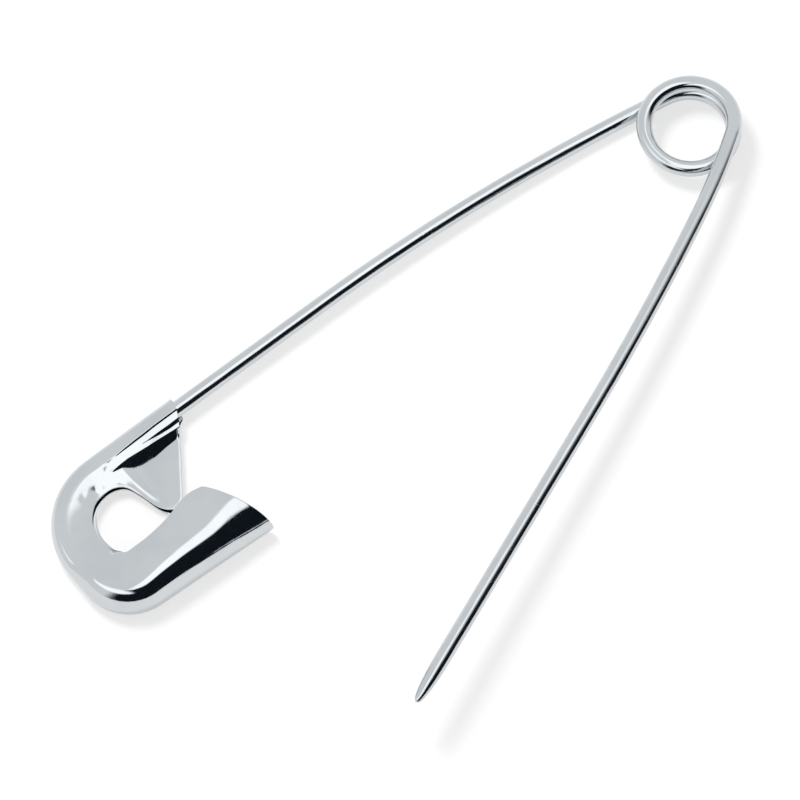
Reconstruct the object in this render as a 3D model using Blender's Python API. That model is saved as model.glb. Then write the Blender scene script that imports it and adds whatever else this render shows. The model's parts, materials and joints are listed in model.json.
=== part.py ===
"""A large safety pin, lying open on its back: one length of bent spring wire and one folded sheet clasp.

Lengths are in metres and +Z is up. Positions are worked out in the pin's own frame, where X runs from the
coil towards the clasp's round end, with zero at the crimp's mouth, Y runs from the spine towards the arm,
with zero on the spine's axis, and Z is zero under the clasp's back. An empty carries that frame, so that the
world's origin lies on the clasp's flat back.
"""

import math

import bmesh
import bpy
import numpy as np

# Wire
WIRE_DIAMETER = 0.0020
SPINE_LENGTH = 0.0730  # from the crimp's mouth to the coil's axis
SPINE_IN_CRIMP = 0.0100  # the hidden end of the wire inside the clasp
SPINE_BOW_REACH = 0.0045  # how far the spine's bow carries it sideways, towards the arm
SPINE_BOW_SHARE = 0.70  # share of the spine's length that is bowed
JOIN_GAP = 0.0003  # between wire nodes that follow each other
WIRE_ROUNDING = 4  # a bevel resolution that gives the wire 12 sides
SPINE_STEPS = 8
SPINE_BOW_STEPS = 20

# Spring coil
COIL_RADIUS = 0.0056  # to the middle of the wire
COIL_FULL_TURNS = 1  # besides the part turn that the legs' directions leave
TURN_GAP = 0.00045  # between neighbouring turns
RINGS_PER_TURN = 32

# Arm
ARM_OPENING = math.radians(22.5)  # between the spine's and the arm's straight stretches, at rest
SHANK_BEND = math.radians(7.5)
ARM_BOW = math.radians(4.2)
ARM_CLIMB = 0.0025  # from the coil to the point, so that the arm swings over the hook
SHANK_SHARE = 0.14  # share of the arm's length
ARM_BOW_SHARE = 0.36  # share of the arm's length
SHANK_STEPS = 6
ARM_BOW_STEPS = 12
ARM_STEPS = 10
POINT_DEPTH = 0.0130  # how far the latched point lies past the crimp's mouth
POINT_LENGTH = 0.0070
POINT_END_SHARE = 0.06  # radius left at the very tip, as a share of the wire's
POINT_FULLNESS = 0.8  # below 1 rounds the ground point's flanks outwards
POINT_RINGS = 9

# Clasp
SHEET = 0.00035
CRIMP_GAP = 0.0003  # between the spine and the crimp
CLASP_LENGTH = 0.0243  # from the crimp's mouth to the round end
CLASP_WIDTH = 0.0199  # from the spine's axis to the hook's outer face
HOOK_HEIGHT = 0.0054  # over the hook's crown
MOUTH_SETBACK = 0.0009  # from the crimp's mouth to the hook's
END_RADIUS = 0.0097  # the spine's side of the round end, in plan
HOOK_CORNER_RADIUS = 0.0056  # the hook's side of the round end, in plan
FOLD_HEIGHT = 0.0014  # height at which the folded outer wall bulges most
FOLD_RUN = 0.0011  # how far in from the wall the back becomes flat
TONGUE_GAP = 0.0003  # between the tongue and the back
TONGUE_BEND = 0.0006  # radius of the bend from the crimp out to the tongue, to the middle of the sheet
BEND_WORTH = 0.0040  # length of flat sheet that gets as many rows as one radian of bend
ROWS_PER_STATION = 3
BACK_ROWS = 8
FRONT_ROWS = 16
PROFILE_STEPS = 24  # points along each bend of a profile, before its rows are spaced
CUT_SHARE = 0.999  # a profile's points past this share of its length give way to its cut end
MERGE_SHARE = 0.05  # of the sheet: rows closer than this are one row

# The flat back's mount, as shares of the clasp's length and width
BACK_POINT_SHARES = (0.25, 0.25)

WIRE_COLOUR = (0.62, 0.65, 0.68, 1.0)
WIRE_ROUGHNESS = 0.16
SHEET_COLOUR = (0.66, 0.69, 0.72, 1.0)
SHEET_ROUGHNESS = 0.12

wire_radius = WIRE_DIAMETER / 2
turn_pitch = WIRE_DIAMETER + TURN_GAP
crimp_radius = wire_radius + CRIMP_GAP + SHEET / 2  # to the middle of the sheet
spine_height = SHEET + CRIMP_GAP + wire_radius
tongue_height = SHEET + TONGUE_GAP + SHEET / 2
spine_bow = 2 * math.atan(SPINE_BOW_REACH / (SPINE_BOW_SHARE * SPINE_LENGTH))
spine_bow_radius = SPINE_BOW_REACH / (1 - math.cos(spine_bow))
coil_centre = (-SPINE_LENGTH, SPINE_BOW_REACH + COIL_RADIUS * math.cos(spine_bow))
coil_start_x = coil_centre[0] - COIL_RADIUS * math.sin(spine_bow)
coil_sweep = math.tau * COIL_FULL_TURNS + math.pi - spine_bow - ARM_OPENING - SHANK_BEND - ARM_BOW
coil_rise = turn_pitch * coil_sweep / math.tau
arm_length = SPINE_LENGTH + POINT_DEPTH + COIL_RADIUS * math.sin(spine_bow)
shank_length = SHANK_SHARE * arm_length
arm_bow_length = ARM_BOW_SHARE * arm_length
arm_slope = ARM_CLIMB / arm_length

# Sections of the clasp, in order round its outline. Each has its place on the outline, where the whole
# numbers are the ends of the crimp run, the spine's corner, the end run, the hook's corner and the hook run.
# Then come the front layer's inner edge and the back layer's inner edge, as shares of the clasp's length and
# width, the crown's height as a share of the hook's, how far in the crown lies as a share of the section's
# length, the front edge's height as a share of the hook's, and how far the section is still the crimp's tube.
SECTION_SHARES = (
    # place, front edge x, y, back edge x, y, crown height, crown inset, edge height, tube
    (0.00, 0.000, 0.100, 0.000, 0.090, 0.60, 0.12, 0.16, 1.0),
    (0.10, 0.062, 0.110, 0.055, 0.105, 0.60, 0.12, 0.16, 1.0),
    (0.25, 0.150, 0.262, 0.145, 0.258, 0.60, 0.12, 0.16, 1.0),
    (0.46, 0.280, 0.492, 0.273, 0.480, 0.60, 0.12, 0.16, 1.0),
    (0.52, 0.312, 0.520, 0.300, 0.512, 0.60, 0.12, 0.16, 1.0),
    (0.60, 0.362, 0.521, 0.354, 0.512, 0.60, 0.12, 0.16, 1.0),
    (0.68, 0.402, 0.494, 0.407, 0.512, 0.60, 0.12, 0.16, 1.0),
    (0.73, 0.428, 0.436, 0.427, 0.448, 0.60, 0.13, 0.16, 1.0),
    (0.79, 0.462, 0.315, 0.455, 0.345, 0.60, 0.14, 0.16, 0.98),
    (0.85, 0.498, 0.241, 0.495, 0.260, 0.60, 0.14, 0.18, 0.82),
    (0.92, 0.542, 0.206, 0.540, 0.222, 0.61, 0.15, 0.22, 0.50),
    (1.00, 0.596, 0.196, 0.592, 0.211, 0.62, 0.16, 0.27, 0.18),
    (1.33, 0.673, 0.240, 0.654, 0.246, 0.64, 0.17, 0.35, 0.0),
    (1.67, 0.736, 0.320, 0.707, 0.321, 0.65, 0.18, 0.40, 0.0),
    (2.00, 0.773, 0.416, 0.740, 0.412, 0.67, 0.18, 0.44, 0.0),
    (2.50, 0.785, 0.512, 0.741, 0.492, 0.72, 0.20, 0.52, 0.0),
    (3.00, 0.765, 0.572, 0.716, 0.552, 0.80, 0.25, 0.64, 0.0),
    (3.50, 0.724, 0.608, 0.683, 0.578, 0.90, 0.34, 0.78, 0.0),
    (4.00, 0.675, 0.618, 0.642, 0.588, 0.97, 0.44, 0.86, 0.0),
    (4.20, 0.592, 0.618, 0.568, 0.583, 1.00, 0.48, 0.88, 0.0),
    (4.40, 0.494, 0.603, 0.477, 0.553, 1.00, 0.50, 0.88, 0.0),
    (4.55, 0.420, 0.583, 0.407, 0.512, 1.00, 0.50, 0.88, 0.0),
    (4.70, 0.354, 0.558, 0.354, 0.512, 1.00, 0.50, 0.88, 0.0),
    (4.85, 0.284, 0.548, 0.300, 0.512, 0.99, 0.50, 0.88, 0.0),
    (5.00, 0.214, 0.563, 0.300, 0.512, 0.98, 0.50, 0.88, 0.0),
)
SEAM_PLACES = ((0.52, 0.68), (4.55, 4.85))  # where the backs of both legs of the clasp are one plate
MOUTH_CORNER_SHARES = (0.152, 0.613)  # the hook mouth's rounded inner corner, in plan
MOUTH_PLACES = 0.4  # how far before the outline's end the sections start to lean towards that corner
MOUTH_LEAN_SHARE = 0.6


def clear_scene():
    for obj in list(bpy.data.objects):
        bpy.data.objects.remove(obj, do_unlink=True)


def metal(name, colour, roughness):
    material = bpy.data.materials.new(name)
    material.use_nodes = True
    shader = material.node_tree.nodes["Principled BSDF"]
    shader.inputs["Base Color"].default_value = colour
    shader.inputs["Metallic"].default_value = 1.0
    shader.inputs["Roughness"].default_value = roughness
    return material


def frame_empty(name, place, parent):
    empty = bpy.data.objects.new(name, None)
    bpy.context.scene.collection.objects.link(empty)
    empty.location = place
    empty.parent = parent
    return empty


def smooth_step(share):
    return share * share * (3 - 2 * share)


class WireWalk:
    """Follows the wire's middle line in runs, each an arc or a straight in plan with a rise."""

    def __init__(self, x, y, z, heading):
        self.place = np.array([x, y, z])
        self.heading = heading

    def run(self, length, turn, rise, steps, ease=False):
        """Goes length in plan, turning left by turn and rising by rise, and returns the points on the way."""
        points = []
        for step in range(steps + 1):
            share = step / steps
            half = turn * share / 2
            chord = length * share * (math.sin(half) / half if half else 1.0)
            way = self.heading + half
            lift = rise * (smooth_step(share) if ease else share)
            offset = np.array([chord * math.cos(way), chord * math.sin(way), lift])
            points.append(self.place + offset)
        self.place = points[-1]
        self.heading += turn
        return points


def shorten(points, start, end):
    """The same line, cut back by a length at each end."""
    line = np.array(points)
    steps = np.linalg.norm(np.diff(line, axis=0), axis=1)
    along = np.concatenate([[0.0], np.cumsum(steps)])
    inside = (along > start) & (along < along[-1] - end)
    stops = np.concatenate([[start], along[inside], [along[-1] - end]])
    return np.column_stack([np.interp(stops, along, line[:, axis]) for axis in range(3)])


def sum_length(points):
    return float(np.linalg.norm(np.diff(np.array(points), axis=0), axis=1).sum())


def walk_spine(walk):
    """From the end in the crimp, straight and then bowed, down to the coil's lowest turn."""
    straight = -coil_start_x - spine_bow_radius * math.sin(spine_bow)
    lead = WIRE_DIAMETER
    bow = spine_bow_radius * spine_bow - lead
    points = walk.run(SPINE_IN_CRIMP + straight, 0.0, 0.0, SPINE_STEPS)
    turn = lead / spine_bow_radius - spine_bow
    points += walk.run(bow, turn, wire_radius - spine_height, SPINE_BOW_STEPS, ease=True)[1:]
    walk.heading = math.pi - spine_bow
    return points


def walk_coil(walk):
    """The helix, with a straight lead one wire's diameter long at each end, on the helix's own slope."""
    length = COIL_RADIUS * coil_sweep
    lead = WIRE_DIAMETER
    lead_rise = lead * coil_rise / length
    points = walk.run(lead, 0.0, lead_rise, 1)
    points += walk.run(length, -coil_sweep, coil_rise, round(RINGS_PER_TURN * coil_sweep / math.tau))[1:]
    return points + walk.run(lead, 0.0, lead_rise, 1)[1:]


def wire_lines():
    """The middle lines of the wire's nodes, from the end in the crimp to the point."""
    walk = WireWalk(SPINE_IN_CRIMP, 0.0, spine_height, math.pi)
    spine = walk_spine(walk)
    coil = walk_coil(walk)
    shank_run = shank_length - WIRE_DIAMETER
    straight_run = arm_length - shank_length - arm_bow_length
    shank = walk.run(shank_run, -SHANK_BEND, arm_slope * shank_run, SHANK_STEPS)
    hinge, hinge_heading = walk.place.copy(), walk.heading
    arm = walk.run(arm_bow_length, -ARM_BOW, arm_slope * arm_bow_length, ARM_BOW_STEPS)
    arm += walk.run(straight_run, 0.0, arm_slope * straight_run, ARM_STEPS)[1:]
    return {
        "spine_wire": shorten(spine, 0.0, JOIN_GAP),
        "spring_coil": np.array(coil),
        "arm_shank": shorten(shank, JOIN_GAP, JOIN_GAP / 2),
        "pin_arm": shorten(arm, JOIN_GAP / 2, 0.0),
        "hinge": hinge,
        "hinge_heading": hinge_heading,
    }


def least_turn_gap(points):
    """The least gap between stretches of the coil that are at least half a turn apart."""
    half_turn = RINGS_PER_TURN // 2
    line = np.array(points)
    least = min(
        np.linalg.norm(line[index + half_turn :] - line[index], axis=1).min()
        for index in range(len(line) - half_turn)
    )
    return least - WIRE_DIAMETER


def wire_tube(name, points, material, parent, radii=None):
    """A round wire along points of the pin's frame, with its origin at its parent empty."""
    curve = bpy.data.curves.new(name, "CURVE")
    curve.dimensions = "3D"
    curve.bevel_depth = wire_radius
    curve.bevel_resolution = WIRE_ROUNDING
    curve.use_fill_caps = True
    curve.materials.append(material)
    spline = curve.splines.new("POLY")
    spline.points.add(len(points) - 1)
    start = np.array(parent.location) if parent.parent else np.zeros(3)
    for index, point in enumerate(np.array(points) - start):
        spline.points[index].co = (*point, 1.0)
        spline.points[index].radius = 1.0 if radii is None else radii[index]
    obj = bpy.data.objects.new(name, curve)
    bpy.context.scene.collection.objects.link(obj)
    obj.parent = parent
    return obj


def ground_point(points):
    """The arm's line with rings added for its ground point, and the rings' radii as shares of the wire's."""
    body = shorten(points, 0.0, POINT_LENGTH)
    cone = shorten(points, sum_length(points) - POINT_LENGTH, 0.0)
    turns = np.linspace(0.0, math.pi / 2, POINT_RINGS)
    taper = np.array([cone[0] + (cone[-1] - cone[0]) * share for share in np.sin(turns)])
    radii = POINT_END_SHARE + (1 - POINT_END_SHARE) * np.abs(np.cos(turns)) ** POINT_FULLNESS
    return np.concatenate([body, taper[1:]]), [1.0] * len(body) + list(radii[1:])


def outline(place):
    """A point of the clasp's outline in plan, at the middle of its wall. Whole places are its runs' ends."""
    left = -crimp_radius
    right = CLASP_WIDTH - SHEET / 2
    end = CLASP_LENGTH - SHEET / 2
    near = END_RADIUS
    far = HOOK_CORNER_RADIUS
    run = min(int(place), 4)
    share = place - run
    turn = share * math.pi / 2
    if run == 0:
        return np.array([(end - near) * share, left])
    if run == 1:
        return np.array([end - near + near * math.sin(turn), left + near - near * math.cos(turn)])
    if run == 2:
        return np.array([end, left + near + (right - far - left - near) * share])
    if run == 3:
        return np.array([end - far + far * math.cos(turn), right - far + far * math.sin(turn)])
    return np.array([end - far + (MOUTH_SETBACK - end + far) * share, right])


def smooth_line(values, count):
    """Rows between neighbouring rows of values, on a Catmull-Rom curve through them."""
    rows = np.array(values)
    padded = np.vstack([2 * rows[0] - rows[1], rows, 2 * rows[-1] - rows[-2]])
    made = []
    for index in range(len(rows) - 1):
        before, start, end, after = padded[index : index + 4]
        for step in range(count):
            t = step / count
            made.append(
                start
                + t * (end - before) / 2
                + t * t * (before - 2.5 * start + 2 * end - after / 2)
                + t * t * t * (1.5 * (start - end) + (after - before) / 2)
            )
    made.append(rows[-1])
    return np.array(made)


def cut_and_space(profile, length, rows):
    """A profile of distance and height, cut at the distance length, in rows points, closest in its bends."""
    profile = np.array(profile)
    inside = profile[:, 0] < CUT_SHARE * length
    last = np.interp(length, profile[:, 0], profile[:, 1])
    kept = np.vstack([profile[inside], [length, last]])
    legs = np.diff(kept, axis=0)
    steps = np.linalg.norm(legs, axis=1)
    bends = np.abs(np.diff(np.unwrap(np.arctan2(legs[:, 1], legs[:, 0]))))
    steps[1:] += bends * BEND_WORTH / 2
    steps[:-1] += bends * BEND_WORTH / 2
    along = np.concatenate([[0.0], np.cumsum(steps)])
    stops = np.linspace(0.0, along[-1], rows)
    return np.column_stack([np.interp(stops, along, kept[:, axis]) for axis in range(2)])


def bend_points(centre, radius, first, last):
    """Points on an arc of a profile, from the angle first to the angle last, counted from its top."""
    return [
        (centre[0] + radius * math.sin(angle), centre[1] + radius * math.cos(angle))
        for angle in np.linspace(first, last, PROFILE_STEPS)
    ]


def tube_profile(length):
    """The front layer over the crimp: over the wire, down its inner side, then out along the tongue."""
    drop = spine_height - tongue_height - TONGUE_BEND
    centres = crimp_radius + TONGUE_BEND
    past_side = math.asin(drop / centres)
    foot = crimp_radius + math.sqrt(centres**2 - drop**2)
    over = bend_points((crimp_radius, spine_height), crimp_radius, -math.pi / 2, math.pi / 2 + past_side)
    out = bend_points((foot, tongue_height + TONGUE_BEND), TONGUE_BEND, past_side - math.pi / 2, -math.pi)
    return over + out[1:] + [(max(length, foot) + SHEET, tongue_height)]


def dome_profile(length, crown_height, crown_inset, edge_height):
    """The front layer where it stands open: a rounded wall up to the crown, then an easy fall inwards."""
    inset = crown_inset * length
    wall = [
        (inset * (1 - math.cos(angle)), FOLD_HEIGHT + (crown_height - FOLD_HEIGHT) * math.sin(angle))
        for angle in np.linspace(0.0, math.pi / 2, PROFILE_STEPS)
    ]
    fall = [
        (inset + (length - inset) * share, crown_height + (edge_height - crown_height) * share * share)
        for share in np.linspace(0.0, 1.0, PROFILE_STEPS)
    ]
    return wall + fall[1:]


def back_profile(length, tube):
    """The back layer: from the wall's widest height down round the fold and flat to its inner edge."""
    rise = tube * (spine_height - SHEET / 2) + (1 - tube) * (FOLD_HEIGHT - SHEET / 2)
    run = tube * crimp_radius + (1 - tube) * FOLD_RUN
    fold = [
        (run * (1 - math.cos(angle)), SHEET / 2 + rise * (1 - math.sin(angle)))
        for angle in np.linspace(0.0, math.pi / 2, PROFILE_STEPS)
    ]
    return fold + [(max(length, run) + SHEET, SHEET / 2)]


def bent_line(start, end, corner, shares):
    """Points at shares of the way from start to end in plan, on a line that bends towards corner."""
    return [
        (1 - share) ** 2 * start + 2 * share * (1 - share) * corner + share**2 * end for share in shares
    ]


def clasp_section(row):
    """One section of the sheet, at the middle of its thickness, from the back's inner edge to the front's."""
    place, front_x, front_y, back_x, back_y, crown, crown_inset, edge, tube = row
    start = outline(place)
    front_end = np.array([front_x * CLASP_LENGTH, front_y * CLASP_WIDTH])
    back_end = np.array([back_x * CLASP_LENGTH, back_y * CLASP_WIDTH])
    front_length = np.linalg.norm(front_end - start)
    back_length = np.linalg.norm(back_end - start)
    top = HOOK_HEIGHT - SHEET / 2
    dome = dome_profile(front_length, crown * top, crown_inset, edge * top)
    dome = cut_and_space(dome, front_length, FRONT_ROWS)
    arch = cut_and_space(tube_profile(front_length), front_length, FRONT_ROWS)
    front = tube * arch + (1 - tube) * dome
    back = cut_and_space(back_profile(back_length, tube), back_length, BACK_ROWS)
    middle = (start + front_end) / 2
    mouth_corner = np.array(MOUTH_CORNER_SHARES) * (CLASP_LENGTH, CLASP_WIDTH)
    lean = smooth_step(max(0.0, 1 - (5.0 - place) / MOUTH_PLACES)) * MOUTH_LEAN_SHARE
    bend = middle + (mouth_corner - middle) * lean
    front_plan = bent_line(start, front_end, bend, front[:, 0] / front_length)
    back_plan = bent_line(start, back_end, (start + back_end) / 2, back[:, 0] / back_length)
    lower = [(*plan, height) for plan, height in zip(back_plan[::-1], back[::-1, 1])]
    upper = [(*plan, height) for plan, height in zip(front_plan[1:], front[1:, 1])]
    return lower + upper


def clasp_rows():
    """The table's rows with smooth rows between them. Places and the seam's edge are spaced evenly."""
    rows = smooth_line(SECTION_SHARES, ROWS_PER_STATION)
    for index, row in enumerate(rows):
        station = min(index // ROWS_PER_STATION, len(SECTION_SHARES) - 2)
        share = index / ROWS_PER_STATION - station
        start, end = np.array(SECTION_SHARES[station]), np.array(SECTION_SHARES[station + 1])
        even = start + (end - start) * share
        row[0] = even[0]
        in_seam = any(first <= start[0] and end[0] <= last for first, last in SEAM_PLACES)
        if in_seam or start[3] == end[3]:
            row[3:5] = even[3:5]
        row[8] = min(max(row[8], 0.0), 1.0)
    return rows


def make_clasp(material, parent):
    """The folded sheet: sections lofted round the outline, the two legs' backs joined, then thickened."""
    mesh = bmesh.new()
    sections = [[mesh.verts.new(point) for point in clasp_section(row)] for row in clasp_rows()]
    for one, other in zip(sections, sections[1:]):
        for index in range(len(one) - 1):
            mesh.faces.new((one[index], one[index + 1], other[index + 1], other[index]))
    bmesh.ops.remove_doubles(mesh, verts=mesh.verts[:], dist=MERGE_SHARE * SHEET)
    bmesh.ops.recalc_face_normals(mesh, faces=mesh.faces[:])
    data = bpy.data.meshes.new("clasp")
    mesh.to_mesh(data)
    mesh.free()
    data.materials.append(material)
    data.shade_smooth()
    obj = bpy.data.objects.new("clasp", data)
    bpy.context.scene.collection.objects.link(obj)
    obj.parent = parent
    wall = obj.modifiers.new("sheet", "SOLIDIFY")
    wall.thickness = SHEET
    wall.offset = 0.0
    wall.use_even_offset = True
    return obj


def print_places(lines, arm_line, back):
    """The gap that the coil keeps to itself, and the joints' places in the world."""
    print("least gap between turns, mm:", round(least_turn_gap(lines["spring_coil"]) * 1000, 3))
    print("coil turns at rest:", round(coil_sweep / math.tau, 3))
    print("coil axis, world m:", np.round(np.array(coil_centre) - back[:2], 6))
    print("lift hinge, world m:", np.round(lines["hinge"] - back, 6))
    print("lift hinge heading, degrees:", round(math.degrees(lines["hinge_heading"]), 3))
    print("tip, world m:", np.round(arm_line[-1] - back, 6))


def main():
    clear_scene()
    wire_finish = metal("bright_wire", WIRE_COLOUR, WIRE_ROUGHNESS)
    sheet_finish = metal("bright_sheet", SHEET_COLOUR, SHEET_ROUGHNESS)
    lines = wire_lines()
    back = np.array([BACK_POINT_SHARES[0] * CLASP_LENGTH, BACK_POINT_SHARES[1] * CLASP_WIDTH, 0.0])
    pin = frame_empty("safety_pin", -back, None)
    coil_axis = frame_empty("coil_axis", (*coil_centre, 0.0), pin)
    lift_hinge = frame_empty("lift_hinge", lines["hinge"], pin)
    make_clasp(sheet_finish, pin)
    wire_tube("spine_wire", lines["spine_wire"], wire_finish, pin)
    wire_tube("spring_coil", lines["spring_coil"], wire_finish, pin)
    wire_tube("arm_shank", lines["arm_shank"], wire_finish, coil_axis)
    arm_line, arm_radii = ground_point(lines["pin_arm"])
    wire_tube("pin_arm", arm_line, wire_finish, lift_hinge, arm_radii)
    print_places(lines, arm_line, back)


main()
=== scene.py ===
# %% [markdown]
# # A bright wire safety pin, dressed and lit
#
# A large safety pin is two things: one length of hard spring wire, and one piece of thin sheet that is
# folded into a clasp. This lesson loads the pin's plain solids as a frame, puts finely made pieces in their
# places, plates them, and sets the pin on a white table under studio light.

# %% Load the frame
import json
import math

import bmesh
import bpy
import numpy as np
from mathutils import Matrix, Vector


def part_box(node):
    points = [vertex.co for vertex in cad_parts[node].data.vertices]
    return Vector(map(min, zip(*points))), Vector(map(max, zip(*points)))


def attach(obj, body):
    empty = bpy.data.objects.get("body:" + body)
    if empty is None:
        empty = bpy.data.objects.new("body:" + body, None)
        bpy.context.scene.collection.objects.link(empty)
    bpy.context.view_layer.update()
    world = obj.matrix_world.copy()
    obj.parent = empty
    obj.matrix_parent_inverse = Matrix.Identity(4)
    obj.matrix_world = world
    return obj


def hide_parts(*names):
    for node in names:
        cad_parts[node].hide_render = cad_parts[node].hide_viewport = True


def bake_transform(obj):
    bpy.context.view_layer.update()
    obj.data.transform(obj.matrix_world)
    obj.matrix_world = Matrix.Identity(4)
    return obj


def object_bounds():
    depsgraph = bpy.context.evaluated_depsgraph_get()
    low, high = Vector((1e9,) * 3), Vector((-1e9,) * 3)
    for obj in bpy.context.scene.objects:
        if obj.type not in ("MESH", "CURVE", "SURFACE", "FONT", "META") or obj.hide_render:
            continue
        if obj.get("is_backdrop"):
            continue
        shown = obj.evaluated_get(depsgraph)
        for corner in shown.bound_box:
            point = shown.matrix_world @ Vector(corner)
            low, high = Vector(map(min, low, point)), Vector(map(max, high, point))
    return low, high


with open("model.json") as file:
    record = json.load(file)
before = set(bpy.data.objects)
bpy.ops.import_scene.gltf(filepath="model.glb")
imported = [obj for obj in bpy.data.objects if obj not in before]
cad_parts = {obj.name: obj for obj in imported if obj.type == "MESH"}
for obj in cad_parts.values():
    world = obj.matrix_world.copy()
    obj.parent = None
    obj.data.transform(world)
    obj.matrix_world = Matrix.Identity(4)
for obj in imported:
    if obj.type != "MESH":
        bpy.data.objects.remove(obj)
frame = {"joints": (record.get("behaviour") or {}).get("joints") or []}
cad_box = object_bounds()

# %% [markdown]
# Every place below is worked out from the frame. The pin has a frame of its own: X runs along the spine
# from the coil to the clasp's round end, with zero at the crimp's mouth, Y runs from the spine towards the
# open arm, and Z is zero under the clasp's flat back.

# %% The pin's own frame
MM = 0.001
WIRE_RADIUS = 1.0 * MM

joints = {joint["name"]: joint for joint in frame["joints"]}
coil_axis = Vector(joints["arm_swing"]["pos_m"])
hinge = Vector(joints["arm_lift"]["pos_m"])
clasp_low, clasp_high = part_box("clasp")
spine_low, spine_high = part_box("spine_wire")
pin_origin = Vector((clasp_low.x, spine_low.y + WIRE_RADIUS, 0.0))
coil_centre = coil_axis - pin_origin
clasp_size = np.array((clasp_high.x - clasp_low.x, clasp_high.y - pin_origin.y))
spine_length = -coil_centre.x
spine_height = spine_high.z - WIRE_RADIUS


def to_world(place):
    """A place in the pin's frame, as a place in the world."""
    return pin_origin + Vector(place)


def in_mm(place):
    """A place's numbers in millimetres, rounded to be printed."""
    return [round(value / MM, 2) for value in place]


print("clasp, mm:", in_mm(clasp_size), "coil's centre:", in_mm(coil_centre))

# %% [markdown]
# ## The camera
#
# The photograph looks down steeply on the table, from the side on which the arm lies, and its lines hardly
# converge, which a very long lens far away gives. The camera could be moved by hand, but placed by the
# view's angles and a scale it gives a picture that can be measured.

# %% Camera
IMAGE_PIXELS = 800
PIXELS_PER_MM = 8.1
VIEW_AZIMUTH = math.radians(141.4)
VIEW_ELEVATION = math.radians(66.4)
CRIMP_PIXEL = (179.8, 409.1)  # where the crimp's mouth lies in the picture
LENS = 400.0
SENSOR = 36.0

to_camera = Vector((
    math.sin(VIEW_AZIMUTH) * math.cos(VIEW_ELEVATION),
    -math.cos(VIEW_AZIMUTH) * math.cos(VIEW_ELEVATION),
    math.sin(VIEW_ELEVATION),
))
view_turn = to_camera.to_track_quat("Z", "Y")
image_right = view_turn @ Vector((1.0, 0.0, 0.0))
image_up = view_turn @ Vector((0.0, 1.0, 0.0))
frame_width = IMAGE_PIXELS / PIXELS_PER_MM * MM
aim = to_world((0.0, 0.0, WIRE_RADIUS))
aim += image_right * (IMAGE_PIXELS / 2 - CRIMP_PIXEL[0]) / PIXELS_PER_MM * MM
aim += image_up * (CRIMP_PIXEL[1] - IMAGE_PIXELS / 2) / PIXELS_PER_MM * MM


def add_object(name, data):
    made = bpy.data.objects.new(name, data)
    bpy.context.scene.collection.objects.link(made)
    return made


camera_data = bpy.data.cameras.new("camera")
camera_data.lens = LENS
camera_data.sensor_width = SENSOR
camera = add_object("camera", camera_data)
camera.rotation_mode = "QUATERNION"
camera.rotation_quaternion = view_turn
camera.location = aim + to_camera * frame_width * LENS / SENSOR
bpy.context.scene.camera = camera
bpy.context.scene.view_settings.view_transform = "Standard"
print("camera distance, mm:", round((camera.location - aim).length / MM))

# %% [markdown]
# ## A few helpers for nodes
#
# A material is a small graph, which could be joined by hand in the shader editor. These helpers add a node,
# set its values and join it up in one line, so that the cells below read as a list.

# %% Node helpers
WHITE = (1.0, 1.0, 1.0, 1.0)


def add_node(tree, kind, settings=None, **inputs):
    """A node. Its inputs are values or outputs, by name, with _ for a space, or by number, as i0."""
    node = tree.nodes.new(kind)
    for name, value in (settings or {}).items():
        setattr(node, name, value)
    for name, value in inputs.items():
        key = int(name[1:]) if name[0] == "i" and name[1:].isdigit() else name.replace("_", " ")
        if isinstance(value, bpy.types.NodeSocket):
            tree.links.new(value, node.inputs[key])
        else:
            node.inputs[key].default_value = value
    return node


def add_math(tree, operation, first, second=0.0, clamp=False):
    settings = {"operation": operation, "use_clamp": clamp}
    return add_node(tree, "ShaderNodeMath", settings, i0=first, i1=second).outputs[0]


def add_step(tree, value, low, high):
    """Rises smoothly from 0 to 1 while the value goes from low to high."""
    settings = {"interpolation_type": "SMOOTHSTEP"}
    return add_node(tree, "ShaderNodeMapRange", settings, i0=value, i1=low, i2=high).outputs[0]


def add_range(tree, share, low, high):
    """Goes from low to high while the share goes from 0 to 1."""
    return add_node(tree, "ShaderNodeMapRange", i0=share, i3=low, i4=high).outputs[0]


def add_mix(tree, share, first, second):
    """A colour between two colours."""
    return add_node(tree, "ShaderNodeMix", {"data_type": "RGBA"}, i0=share, i6=first, i7=second).outputs[2]


print("helpers:", [name for name in dir() if name.startswith("add_")])

# %% [markdown]
# ## The studio
#
# Bright metal has hardly a colour of its own: what the eye sees on it is the room. The photograph's wire
# shows the same bands everywhere, so they tell how its studio was set up. A soft box almost overhead gives
# the white line. The side that the arm points to is dark up to a steep height, and gives the dark line
# under it. A smaller box beyond the clasp's round end gives the bright line on its rim, and the rest is a
# pale tent. Panels and lamps could stand round the pin, but a world shader paints them all with a few named
# values.

# %% What mirrors see
TENT_COLOUR = (0.885, 0.893, 0.90, 1.0)
DARK_COLOUR = (0.006, 0.009, 0.014, 1.0)
SOFT_BOX_COLOUR = (1.5, 1.5, 1.5, 1.0)
DARK_BEARING = math.radians(84.0)  # of the middle of the dark side, from X towards Y
DARK_REACH = (math.radians(82.0), math.radians(58.0))  # to each side: where it has faded, where it is full
OVERHEAD = (0.866, 0.920)  # the soft box's rim and the dark's top, as the sine of the elevation
SOFT_BOX_WAY = (-0.538, 0.843)  # it is cut off straight on the side that faces away from this way
SOFT_BOX_CUT = (-0.100, 0.000)
RIM_BOX_ASIDE = (0.38, 0.52)  # the second box: where it begins along X
RIM_BOX_ABOVE = (0.60, 0.70)  # and its lower rim, as the sine of the elevation


def add_along(tree, x, y, way):
    """How far a direction points along a way in plan."""
    along_x = add_math(tree, "MULTIPLY", x, way[0])
    return add_math(tree, "ADD", along_x, add_math(tree, "MULTIPLY", y, way[1]))


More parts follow.
